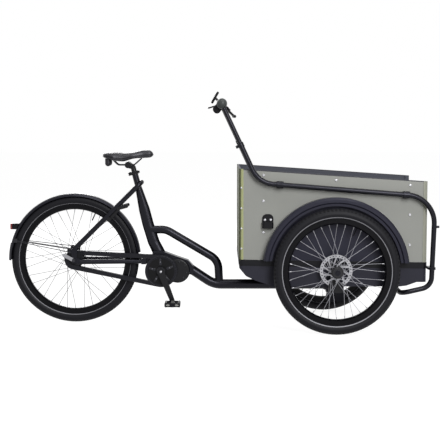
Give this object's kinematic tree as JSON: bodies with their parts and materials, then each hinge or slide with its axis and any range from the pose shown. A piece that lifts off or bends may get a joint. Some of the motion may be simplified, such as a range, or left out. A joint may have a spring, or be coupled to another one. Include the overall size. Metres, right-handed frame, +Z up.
{
  "type": "cargo tricycle",
  "caption": "Electric cargo tricycle with a steering front box in grey-green panels, wheel arches, a sloping bumper rail that carries the handlebar, and a mid motor with chain drive.",
  "frame": {"origin": "on the ground under the middle of the whole tricycle", "axes": "+X forward towards the cargo box, +Y to the rider's left, +Z up"},
  "size_m": [2.1657, 0.8646, 1.1908],
  "materials": {
    "frame_paint": "satin near-black paint",
    "cargo_board": "satin grey-green coated board",
    "corner_strip": "satin light olive-green paint",
    "tub_plastic": "fine grained charcoal",
    "floor_board": "dark coated plywood",
    "bright_steel": "bright",
    "dark_steel": "blackened",
    "tyre_rubber": "matt black with a pale stripe",
    "rim_black": "satin black",
    "hub_alloy": "satin",
    "alloy_black": "satin black",
    "casing_plastic": "matt black",
    "gloss_black": "gloss black",
    "lens_red": "clear red",
    "pad_rubber": "matt",
    "grip_rubber": "matt black",
    "saddle_cover": "soft black with a low sheen"
  },
  "bodies": {
    "frame": {"seat_tube": "frame_paint", "motor_cradle": "frame_paint", "motor_unit": "alloy_black", "top_tube": "frame_paint", "main_tube": "frame_paint", "steering_head": "frame_paint", "seat_stays": "frame_paint", "chain_stays": "frame_paint", "seat_collar": "alloy_black", "rear_axle": "dark_steel", "shift_unit": "casing_plastic", "drive_chain": "dark_steel", "chain_cover": "casing_plastic", "rear_mudguard": "casing_plastic", "mudguard_stays": "dark_steel", "rear_light_body": "casing_plastic", "rear_light_lens": "lens_red", "rear_brake": "alloy_black"},
    "collar_lever": {"seat_lever": "alloy_black"},
    "saddle": {"seat_post": "alloy_black", "saddle_rails": "dark_steel", "saddle_cover": "saddle_cover"},
    "brake_pad_r": {"brake_pad_right": "pad_rubber"},
    "brake_pad_l": {"brake_pad_left": "pad_rubber"},
    "rear_wheel": {"rear_tyre": "tyre_rubber", "rear_rim": "rim_black", "rear_spokes": "bright_steel", "rear_hub": "hub_alloy"},
    "sprocket": {"rear_sprocket": "dark_steel"},
    "crank": {"crank_arms": "alloy_black", "crank_axle": "dark_steel", "chainring": "dark_steel"},
    "pedal_r": {"pedal_right": "casing_plastic"},
    "pedal_l": {"pedal_left": "casing_plastic"},
    "cargo": {"cargo_tub": "tub_plastic", "box_panels": "cargo_board", "corner_posts": "corner_strip", "floor_panel": "floor_board", "panel_bolts": "bright_steel", "wheel_arches": "tub_plastic", "tent_brackets": "tub_plastic", "front_axle": "frame_paint", "brake_calipers": "alloy_black", "side_rails": "frame_paint", "rail_clips": "frame_paint"},
    "front_wheel_r": {"front_tyre_right": "tyre_rubber", "front_rim_right": "rim_black", "front_spokes_right": "bright_steel", "front_hub_right": "hub_alloy"},
    "front_wheel_l": {"front_tyre_left": "tyre_rubber", "front_rim_left": "rim_black", "front_spokes_left": "bright_steel", "front_hub_left": "hub_alloy"},
    "handlebar": {"handlebar_tubes": "frame_paint", "handlebar_corners": "alloy_black", "grips": "grip_rubber", "lever_bodies": "casing_plastic", "display": "gloss_black"},
    "lever_r": {"brake_lever_right": "alloy_black"},
    "lever_l": {"brake_lever_left": "alloy_black"}
  },
  "joints": [
    {"name": "steering", "type": "hinge", "parent": "frame", "child": "cargo", "pos_m": [0.57833, 0, 0.197], "axis": [0, 0, 1], "range_deg": [-38, 38]},
    {"name": "rear_wheel_spin", "type": "hinge", "parent": "frame", "child": "rear_wheel", "pos_m": [-0.74017, 0, 0.3295], "axis": [0, 1, 0], "continuous": true},
    {"name": "front_wheel_right_spin", "type": "hinge", "parent": "cargo", "child": "front_wheel_r", "pos_m": [0.57833, -0.386, 0.3095], "axis": [0, 1, 0], "continuous": true},
    {"name": "front_wheel_left_spin", "type": "hinge", "parent": "cargo", "child": "front_wheel_l", "pos_m": [0.57833, 0.386, 0.3095], "axis": [0, 1, 0], "continuous": true},
    {"name": "crank_spin", "type": "hinge", "parent": "frame", "child": "crank", "pos_m": [-0.29417, 0, 0.271], "axis": [0, 1, 0], "continuous": true},
    {"name": "sprocket_spin", "type": "hinge", "parent": "frame", "child": "sprocket", "pos_m": [-0.74017, -0.046, 0.3295], "axis": [0, 1, 0], "continuous": true},
    {"name": "pedal_right_spin", "type": "hinge", "parent": "crank", "child": "pedal_r", "pos_m": [-0.23269, -0.132, 0.1125], "axis": [0, 1, 0], "continuous": true},
    {"name": "pedal_left_spin", "type": "hinge", "parent": "crank", "child": "pedal_l", "pos_m": [-0.35564, 0.132, 0.4295], "axis": [0, 1, 0], "continuous": true},
    {"name": "saddle_height", "type": "slide", "parent": "frame", "child": "saddle", "axis": [-0.2504, 0, 0.9681], "range_m": [-0.01, 0.12]},
    {"name": "collar_lever_turn", "type": "hinge", "parent": "frame", "child": "collar_lever", "pos_m": [-0.45754, -0.0195, 0.7684], "axis": [0.2504, 0, -0.9681], "range_deg": [0, 120]},
    {"name": "handlebar_height", "type": "slide", "parent": "cargo", "child": "handlebar", "axis": [-0.4226, 0, 0.9063], "range_m": [-0.03, 0.05]},
    {"name": "brake_lever_right_pull", "type": "hinge", "parent": "handlebar", "child": "lever_r", "pos_m": [0.05077, -0.152, 1.09437], "axis": [-0.6947, 0, -0.7193], "range_deg": [0, 20], "stiffness_Nm_per_rad": 3},
    {"name": "brake_lever_left_pull", "type": "hinge", "parent": "handlebar", "child": "lever_l", "pos_m": [0.05077, 0.152, 1.09437], "axis": [0.6947, 0, 0.7193], "range_deg": [0, 20], "stiffness_Nm_per_rad": 3},
    {"name": "brake_pad_right_push", "type": "slide", "parent": "frame", "child": "brake_pad_r", "axis": [0, 1, 0], "range_m": [0, 0.0019]},
    {"name": "brake_pad_left_push", "type": "slide", "parent": "frame", "child": "brake_pad_l", "axis": [0, -1, 0], "range_m": [0, 0.0019]}
  ],
  "couplings": [
    {"joint": "sprocket_spin", "follows": "crank_spin", "ratio": 1.8947},
    {"joint": "brake_pad_right_push", "follows": "brake_lever_right_pull", "m_per_rad": 0.005443},
    {"joint": "brake_pad_left_push", "follows": "brake_lever_right_pull", "m_per_rad": 0.005443}
  ]
}
